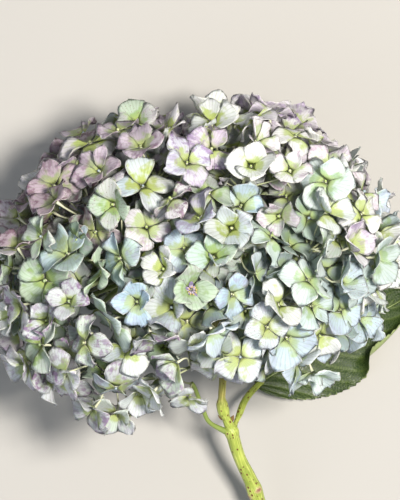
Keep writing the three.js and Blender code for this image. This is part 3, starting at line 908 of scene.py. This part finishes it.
side_bm = bmesh.new()
out_layer = side_bm.verts.layers.float.new("out")
whole_side_path = smooth_path([*SIDE_PATH, SIDE_KNUCKLE], SIDE_STEPS)
grow_stalk(side_bm, whole_side_path, radii_along(SIDE_GIRTH, SIDE_STEPS), SIDE_SIDES)
for floret in side_florets:
    grow_pedicel(side_bm, out_layer, SIDE_KNUCKLE, floret)
bmesh.ops.recalc_face_normals(side_bm, faces=side_bm.faces)
make_piece("side_ray_stalk", side_bm, [stalk_material], ["side_ray"])

# ---------------------------------------------------------------------------------------------------
# Sepals. The showy part of each floret: thin, soft and dry to the touch, green in the heart and
# turning white, lilac or blue towards the rim as the head ages, with fine veins that fan from the base.
# ---------------------------------------------------------------------------------------------------
SEPAL_GRID = 6
SEPAL_LOWEST = 0.1
FRECKLED_SHARE = 0.09
# How far the florets underneath turn to a grey green, and that green: partly unripe colour, partly
# painted shade.
UNRIPE_AND_SHADED = 0.5
UNRIPE_SHADED_GREEN = "#84a088"
# Kinds of floret: heart, rim and blotch colour, how blotched it is, where on the head the kind is
# commonest (left to right, stem to crown), how far it spreads from there, and how common it is.
KINDS = [
    ("#c0cf7e", "#eff3f0", "#cdbfd8", 0.25, (0.10, 0.30), 0.55, 1.0),
    ("#cddb98", "#f8fbfa", "#dccfe0", 0.2, (0.60, 0.10), 0.50, 1.2),
    ("#b9cca8", "#c5dcec", "#b0a8cc", 0.35, (-0.10, 0.00), 0.45, 0.9),
    ("#c6dcb8", "#d5e6f2", "#b9b4dc", 0.2, (0.75, -0.35), 0.45, 1.0),
    ("#b8d2a6", "#e0eeea", "#c3d4e6", 0.2, (0.85, 0.10), 0.45, 0.9),
    ("#a4c080", "#c9dcc4", "#c4b3c8", 0.25, (-0.45, -0.15), 0.45, 0.9),
    ("#b0c08c", "#dfe3e6", "#a68bb0", 0.7, (-0.65, -0.40), 0.45, 1.2),
    ("#a0a684", "#bca9b6", "#8a6c7e", 0.8, (-0.85, 0.40), 0.34, 1.3),
    ("#afba90", "#cfc2d0", "#967a92", 0.7, (-0.45, 0.80), 0.36, 1.0),
    ("#bcc98f", "#e0d7e4", "#a288b4", 0.6, (0.10, 0.65), 0.45, 1.1),
    ("#c9d8a6", "#f4eef4", "#c7a9c6", 0.5, (0.50, 0.60), 0.40, 0.9),
    ("#c2cf96", "#e9eff0", "#c0b0d0", 0.3, (0.00, -0.60), 0.50, 1.0),
]


def petal_skin():
    """Hydrangea sepal: a thin living tissue with a matt, slightly velvety skin that lets light through.
    Veins 0.2 mm wide fan out from the base. They are drawn at 0.3 mm so that they show."""
    material, tree = new_material("hydrangea_sepal_tissue")
    place_at = add(tree, "TexCoord").outputs["Object"]
    plan = add(tree, "Attribute", attribute_name="sepal_plan").outputs["Vector"]
    heart, rim, blotch = [add(tree, "Attribute", attribute_name=name).outputs["Color"]
                          for name in ("heart", "rim", "blotch")]
    blotched, freckled = [add(tree, "Attribute", attribute_name=name).outputs["Fac"]
                          for name in ("blotched", "freckled")]
    axes = add(tree, "SeparateXYZ", {0: plan})
    side, out, border = axes.outputs[0], axes.outputs[1], axes.outputs[2]
    # Patches of colour 4 to 8 mm across, and finer mottling under 1 mm.
    patches = add(tree, "TexNoise", {"Vector": place_at, "Scale": 170.0, "Detail": 2.0}).outputs["Fac"]
    mottle = add(tree, "TexNoise", {"Vector": place_at, "Scale": 1300.0, "Detail": 2.0}).outputs["Fac"]
    # Veins fan out from a point behind the base of the sepal.
    root = add(tree, "Math", {0: out, 1: 0.16}, operation="ADD").outputs[0]
    angle = add(tree, "Math", {0: side, 1: root}, operation="ARCTAN2").outputs[0]
    wander = add(tree, "Math", {0: patches, 1: 0.10, 2: angle}, operation="MULTIPLY_ADD").outputs[0]
    fan = add(tree, "Math", {0: wander, 1: 6.5}, operation="MULTIPLY").outputs[0]
    main = add(tree, "Math", {0: fan, 1: 0.5}, operation="PINGPONG").outputs[0]
    main_line = add(tree, "MapRange", {"Value": main, "From Min": 0.0, "From Max": 0.11, "To Min": 1.0,
                                       "To Max": 0.0}).outputs[0]
    twin = add(tree, "Math", {0: fan, 1: 3.0, 2: mottle}, operation="MULTIPLY_ADD").outputs[0]
    fine = add(tree, "Math", {0: twin, 1: 0.5}, operation="PINGPONG").outputs[0]
    fine_line = add(tree, "MapRange", {"Value": fine, "From Min": 0.0, "From Max": 0.2, "To Min": 0.55,
                                       "To Max": 0.0}).outputs[0]
    veins = add(tree, "Math", {0: main_line, 1: fine_line}, operation="MAXIMUM").outputs[0]
    # From heart to rim along the sepal, uneven with the patches.
    reach = add(tree, "Math", {0: patches, 1: 1.5, 2: out}, operation="MULTIPLY_ADD").outputs[0]
    turning = add(tree, "MapRange", {"Value": reach, "From Min": 0.94, "From Max": 1.26},
                  interpolation_type="SMOOTHSTEP").outputs[0]
    plain = add(tree, "Mix", {0: turning, 6: heart, 7: rim}, data_type="RGBA").outputs[2]
    # Blotches 3 to 6 mm across, where the pigment has set, mostly towards the rim.
    cloud = add(tree, "TexNoise", {"Vector": place_at, "Scale": 240.0, "Detail": 3.0,
                                   "Roughness": 0.6}).outputs["Fac"]
    outward = add(tree, "Math", {0: out, 1: 0.22, 2: cloud}, operation="MULTIPLY_ADD").outputs[0]
    stain = add(tree, "MapRange", {"Value": outward, "From Min": 0.6, "From Max": 0.74}).outputs[0]
    stained = add(tree, "Math", {0: stain, 1: blotched}, operation="MULTIPLY").outputs[0]
    blend = add(tree, "Mix", {0: stained, 6: plain, 7: blotch}, data_type="RGBA").outputs[2]
    base = add(tree, "MapRange", {"Value": out, "From Min": 0.0, "From Max": 0.3, "To Min": 0.75,
                                  "To Max": 0.0}).outputs[0]
    based = add(tree, "Mix", {0: base, 6: blend, 7: linear("#c4cf6c")}, data_type="RGBA").outputs[2]
    greener = add(tree, "Mix", {0: 0.6, 6: heart, 7: linear("#6f8a48")}, data_type="RGBA").outputs[2]
    vein_share = add(tree, "Math", {0: veins, 1: 0.38}, operation="MULTIPLY").outputs[0]
    veined = add(tree, "Mix", {0: vein_share, 6: based, 7: greener}, data_type="RGBA").outputs[2]
    # A near-white rim: partly the sepal's own paler margin, partly a painted rim highlight where the
    # thin edge catches the light.
    rim_and_highlight = add(tree, "MapRange", {"Value": border, "From Min": 0.92, "From Max": 1.0, "To Min": 0.0,
                                 "To Max": 0.8}).outputs[0]
    rim_and_highlight_mixed = add(tree, "Mix", {0: rim_and_highlight, 6: veined, 7: linear("#f7f5ee")}, data_type="RGBA").outputs[2]
    # Freckles about 0.5 mm wide on some florets.
    dots = add(tree, "TexVoronoi", {"Vector": place_at, "Scale": 720.0})
    dot = add(tree, "Math", {0: dots.outputs["Distance"], 1: 0.2}, operation="LESS_THAN").outputs[0]
    freckle = add(tree, "Math", {0: dot, 1: freckled}, operation="MULTIPLY").outputs[0]
    colour = add(tree, "Mix", {0: freckle, 6: rim_and_highlight_mixed, 7: linear("#8d5a5f")},
                 data_type="RGBA").outputs[2]
    relief = add(tree, "Math", {0: veins, 1: -0.8, 2: mottle}, operation="MULTIPLY_ADD").outputs[0]
    bump = add(tree, "Bump", {"Height": relief, "Strength": 0.5, "Distance": 0.0005}).outputs[0]
    skin = add(tree, "BsdfPrincipled", {"Base Color": colour, "Roughness": 0.52,
                                        "Specular IOR Level": 0.35, "Normal": bump})
    glow = add(tree, "BsdfTranslucent", {"Color": colour, "Normal": bump})
    both = add(tree, "MixShader", {0: 0.22, 1: skin.outputs[0], 2: glow.outputs[0]})
    add(tree, "OutputMaterial", {"Surface": both.outputs[0]})
    return material


def add_sepal_layers(bm):
    for name in ("heart", "rim", "blotch"):
        bm.verts.layers.float_color.new(name)
    for name in ("blotched", "freckled"):
        bm.verts.layers.float.new(name)
    bm.verts.layers.float_vector.new("sepal_plan")


def sepal_blank():
    """A flat sepal, ready to be shaped: two grids, front and back, joined at the rim."""
    bm = bmesh.new()
    add_sepal_layers(bm)
    backs = set(double_grid(bm, SEPAL_GRID, SEPAL_GRID))
    for corner in bm.verts:
        if not corner.is_boundary:
            corner.co.z = -1 if corner in backs else 1
    bmesh.ops.remove_doubles(bm, verts=bm.verts, dist=1e-4)
    blank = bpy.data.meshes.new("sepal_blank")
    bm.to_mesh(blank)
    bm.free()
    return blank


def kind_of(floret, pick):
    """One of the kinds of floret, more often one that is common where this floret grew."""
    here = Vector((floret["direction"].x, floret["direction"].y))
    weights = [common * (math.exp(-((here - Vector(spot)).length / spread) ** 2) + 0.004)
               for *_, spot, spread, common in KINDS]
    draw = chance(floret["index"], pick) * sum(weights)
    for kind, weight in zip(KINDS, weights):
        draw -= weight
        if draw <= 0:
            return kind
    return KINDS[-1]


def add_sepals(bm, floret, blank):
    layers = bm.verts.layers
    index = floret["index"]
    turn = floret_frame(floret)
    heart, rim, blotch, blotched, *_ = kind_of(floret, 60)
    other_rim = kind_of(floret, 63)[1]
    freckled = 0.6 if chance(index, 61) < FRECKLED_SHARE else 0.0
    # The florets underneath are made 0.85 as bright: painted shade for the shade deep in the head.
    pale = between(0.84, 1.06, chance(index, 64)) * (0.85 if floret["inner"] else 1)
    # The florets underneath have had less light and stay greener. Their greyer green is also painted
    # shade, for the shade deep in the head.
    unripe_and_shaded = UNRIPE_AND_SHADED if floret["inner"] else 0.0
    for number, sepal in enumerate(floret["sepals"]):
        start = len(bm.verts)
        bm.from_mesh(blank)
        bm.verts.ensure_lookup_table()
        shade = pale * between(0.92, 1.08, chance(index * 5 + number, 62))
        share = chance(index * 5 + number, 65) * 0.6
        mixed = Vector(linear(rim)).lerp(Vector(linear(other_rim)), share)
        mixed = mixed.lerp(Vector(linear(UNRIPE_SHADED_GREEN)), unripe_and_shaded)
        colours = {"heart": linear(heart), "rim": mixed, "blotch": linear(blotch)}
        amount = blotched * between(0.3, 1.6, chance(index * 5 + number, 66))
        for corner in bm.verts[start:]:
            a, b, c = corner.co
            # The square grid is rounded to a disc, and the disc becomes the sepal's outline.
            disc_x, disc_y = a * math.sqrt(1 - b * b / 2), b * math.sqrt(1 - a * a / 2)
            border = min(1.0, math.hypot(disc_x, disc_y))
            chord = math.sqrt(max(1e-9, 1 - disc_y * disc_y))
            side = max(-1.0, min(1.0, disc_x / chord)) if abs(disc_x) > 1e-6 else 0.0
            out = disc_y * 0.5 + 0.5
            thick = c * SEPAL_THICKNESS * 0.5 * (1 - border ** 3)
            spot, across = sepal_spot(sepal, side, out, thick)
            corner.co = turn @ spot + floret["middle"]
            for name, colour in colours.items():
                shaded = [min(0.95, channel * shade) for channel in colour[:3]]
                corner[layers.float_color[name]] = (*shaded, 1)
            corner[layers.float_vector["sepal_plan"]] = (across / sepal["length"], out, border)
            corner[layers.float["blotched"]] = amount
            corner[layers.float["freckled"]] = freckled
            corner.co.z = max(corner.co.z, SEPAL_LOWEST)


sepal_material = petal_skin()
blank = sepal_blank()
for k in range(CLUSTER_COUNT):
    cluster_bm = bmesh.new()
    add_sepal_layers(cluster_bm)
    for floret in florets:
        if floret["cluster"] == k:
            add_sepals(cluster_bm, floret, blank)
    make_piece(f"cluster_{k + 1:02d}_sepals", cluster_bm, [sepal_material],
               [f"floret_cluster_{k + 1:02d}"])
side_cluster_bm = bmesh.new()
add_sepal_layers(side_cluster_bm)
for floret in side_florets:
    add_sepals(side_cluster_bm, floret, blank)
make_piece("side_cluster_sepals", side_cluster_bm, [sepal_material], ["side_cluster"])
bpy.data.meshes.remove(blank)

# ---------------------------------------------------------------------------------------------------
# Flower buds. The true flower sits in the middle of each floret: a closed, waxy bud up to 2 mm wide.
# Most are green, and a few are blue or cream. Each grew on the end of its floret's pedicel.
# ---------------------------------------------------------------------------------------------------
BUD_RADIUS = (0.65, 1.0)
BUD_TINTS = ["#98ab58", "#8ea46c", "#b4bb88", "#8c9fae", "#77854a"]


def bud_skin():
    """Closed flower buds: waxy and slightly shiny, like seed pearls."""
    material, tree = new_material("waxy_flower_bud")
    tint = add(tree, "Attribute", attribute_name="tint").outputs["Color"]
    place_at = add(tree, "TexCoord").outputs["Object"]
    mottle = add(tree, "TexNoise", {"Vector": place_at, "Scale": 1500.0, "Detail": 1.0}).outputs["Fac"]
    share = add(tree, "Math", {0: mottle, 1: 0.25}, operation="MULTIPLY").outputs[0]
    tone = add(tree, "Mix", {0: share, 6: tint, 7: linear("#f2efd2")}, data_type="RGBA").outputs[2]
    bump = add(tree, "Bump", {"Height": mottle, "Strength": 0.2, "Distance": 0.0002}).outputs[0]
    surface = add(tree, "BsdfPrincipled", {"Base Color": tone, "Roughness": 0.35, "Normal": bump})
    add(tree, "OutputMaterial", {"Surface": surface.outputs[0]})
    return material


bud_material = bud_skin()
for r in range(RAY_COUNT):
    eyes_bm = bmesh.new()
    tint_layer = eyes_bm.verts.layers.float_color.new("tint")
    own = [f for f in florets if cluster_ray[f["cluster"]] == r] + (side_florets if r == 0 else [])
    for floret in own:
        index = floret["index"]
        size = between(*BUD_RADIUS, chance(index, 70))
        tint = linear(BUD_TINTS[int(chance(index, 71) * len(BUD_TINTS))])
        bead = bmesh.ops.create_uvsphere(eyes_bm, u_segments=8, v_segments=5, radius=size)["verts"]
        for corner in bead:
            corner[tint_layer] = tint
        bmesh.ops.rotate(eyes_bm, verts=bead, matrix=floret_frame(floret).to_matrix())
        seat = floret["middle"] + floret["facing"] * (0.3 + size * 0.5)
        bmesh.ops.translate(eyes_bm, verts=bead, vec=seat)
        for corner in bead:
            corner.co.z = max(corner.co.z, SEPAL_LOWEST)
    make_piece(f"ray_{r + 1}_flower_buds", eyes_bm, [bud_material])

# ---------------------------------------------------------------------------------------------------
# Open flower. One true flower near the middle of the head has opened: five small blue-violet petals
# round a tuft of stamens with yellow anthers. It grew in the middle of its floret.
# ---------------------------------------------------------------------------------------------------
OPEN_SPOT = Vector((-5.7, -10.9))
OPEN_ABOVE = 140
OPEN_PETALS = 5
PETAL_SIZE = (1.5, 2.4, 0.35)
PETAL_OUT = 2.9
FLOWER_RISE = 1.4
STAMENS = 8
STAMEN_RADII = [0.22, 0.18, 0.16]
ANTHER_RADIUS = 0.5

open_bm = bmesh.new()
tint_layer = open_bm.verts.layers.float_color.new("tint")
host = min((f for f in florets if f["middle"].z > OPEN_ABOVE and not f["inner"]),
           key=lambda f: (f["middle"].xy - OPEN_SPOT).length)
host_turn = floret_frame(host).to_matrix()
for k in range(OPEN_PETALS):
    petal = bmesh.ops.create_uvsphere(open_bm, u_segments=8, v_segments=5, radius=1)["verts"]
    for corner in petal:
        corner.co = Vector([length * size for length, size in zip(corner.co, PETAL_SIZE)])
        corner.co.y += PETAL_OUT
        corner.co.z += 0.12 * corner.co.y ** 2
        corner[tint_layer] = linear("#62508f") if corner.co.y > 2.2 else linear("#c3b0c9")
    about = Matrix.Rotation(2 * math.pi * k / OPEN_PETALS, 3, "Z")
    bmesh.ops.rotate(open_bm, verts=petal, matrix=about)
for k in range(STAMENS):
    turn = 2 * math.pi * (k + 0.3 * chance(k, 80)) / STAMENS
    lean = Vector((math.cos(turn), math.sin(turn), 0))
    path = [lean * 0.4, lean * 1.2, lean * 2.1]
    path[1].z = 2.0
    path[2].z = 3.4 + chance(k, 81)
    for ring in grow_stalk(open_bm, path, STAMEN_RADII, 4):
        for corner in ring:
            corner[tint_layer] = linear("#cbbfd6")
    anther = bmesh.ops.create_icosphere(open_bm, subdivisions=1, radius=ANTHER_RADIUS)["verts"]
    for corner in anther:
        corner[tint_layer] = linear("#c89b3c")
    bmesh.ops.translate(open_bm, verts=anther, vec=path[-1])
bmesh.ops.rotate(open_bm, verts=open_bm.verts, matrix=host_turn)
bmesh.ops.translate(open_bm, verts=open_bm.verts, vec=host["middle"] + host["facing"] * FLOWER_RISE)
make_piece("open_flower", open_bm, [bud_material])

# ---------------------------------------------------------------------------------------------------
# The room: a plain pale table top, soft studio light from the upper right, and a camera overhead.
# ---------------------------------------------------------------------------------------------------
CAMERA_HEIGHT = 2.0
VIEW_HEIGHT = 0.286
HEAD_PLANE = 0.09
SENSOR = 36.0

floor_bm = bmesh.new()
bmesh.ops.create_grid(floor_bm, x_segments=1, y_segments=1, size=4)
floor_mesh = bpy.data.meshes.new("table_top")
floor_bm.to_mesh(floor_mesh)
floor_bm.free()
floor = bpy.data.objects.new("table_top", floor_mesh)
bpy.context.scene.collection.objects.link(floor)
floor_material, floor_tree = new_material("matt_paint")
floor_surface = add(floor_tree, "BsdfPrincipled", {"Base Color": linear("#b4b1ac"), "Roughness": 0.9})
add(floor_tree, "OutputMaterial", {"Surface": floor_surface.outputs[0]})
floor_mesh.materials.append(floor_material)

world = bpy.data.worlds.new("studio")
world.use_nodes = True
world.node_tree.nodes["Background"].inputs["Color"].default_value = linear("#dfe8f4")
world.node_tree.nodes["Background"].inputs["Strength"].default_value = 0.36
bpy.context.scene.world = world


def add_light(name, where, size, power, colour):
    light = bpy.data.lights.new(name, "AREA")
    light.size = size
    light.energy = power
    light.color = linear(colour)[:3]
    lamp = bpy.data.objects.new(name, light)
    lamp.location = where
    lamp.rotation_euler = (-Vector(where)).to_track_quat("-Z", "Y").to_euler()
    bpy.context.scene.collection.objects.link(lamp)


add_light("key", (0.55, 0.15, 1.83), 0.35, 56, "#fffaf2")
add_light("fill", (-1.2, -0.7, 1.4), 1.4, 8, "#eef4ff")

camera_data = bpy.data.cameras.new("overhead")
camera_data.sensor_fit = "VERTICAL"
camera_data.sensor_height = SENSOR
camera_data.lens = SENSOR * (CAMERA_HEIGHT - HEAD_PLANE) / VIEW_HEIGHT
camera = bpy.data.objects.new("overhead", camera_data)
camera.location = (*-MIDDLE.xy * MM, CAMERA_HEIGHT)
bpy.context.scene.collection.objects.link(camera)
bpy.context.scene.camera = camera
bpy.context.scene.view_settings.view_transform = "Standard"
